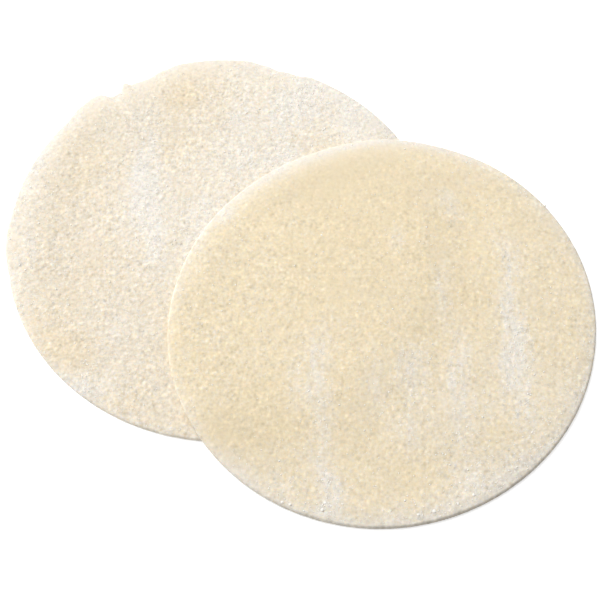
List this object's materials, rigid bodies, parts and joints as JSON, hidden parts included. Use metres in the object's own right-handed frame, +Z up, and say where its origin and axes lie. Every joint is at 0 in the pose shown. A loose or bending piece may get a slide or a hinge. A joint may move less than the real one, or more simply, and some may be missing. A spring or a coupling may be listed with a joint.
{
  "type": "stack of dumpling wrappers",
  "caption": "Thin round sheets of uncooked wheat dough for folding dumplings, dusted with flour, one lying half over the other and drooping past its edge.",
  "frame": {"origin": "on the resting surface, below the middle of the footprint of both wrappers together", "axes": "+X to the right, from the lower wrapper towards the upper one, +Y to the back, +Z up"},
  "size_m": [0.1256, 0.1112, 0.0028],
  "materials": {
    "floured_dough": "raw wheat dough, evenly dusted with white flour, matt and finely grained",
    "bare_dough": "raw wheat dough, creamy yellow, with streaks of white flour along the rolling direction, matt and finely grained"
  },
  "bodies": {
    "root": {"lower_wrapper": "floured_dough", "upper_wrapper": "bare_dough"}
  },
  "joints": []
}
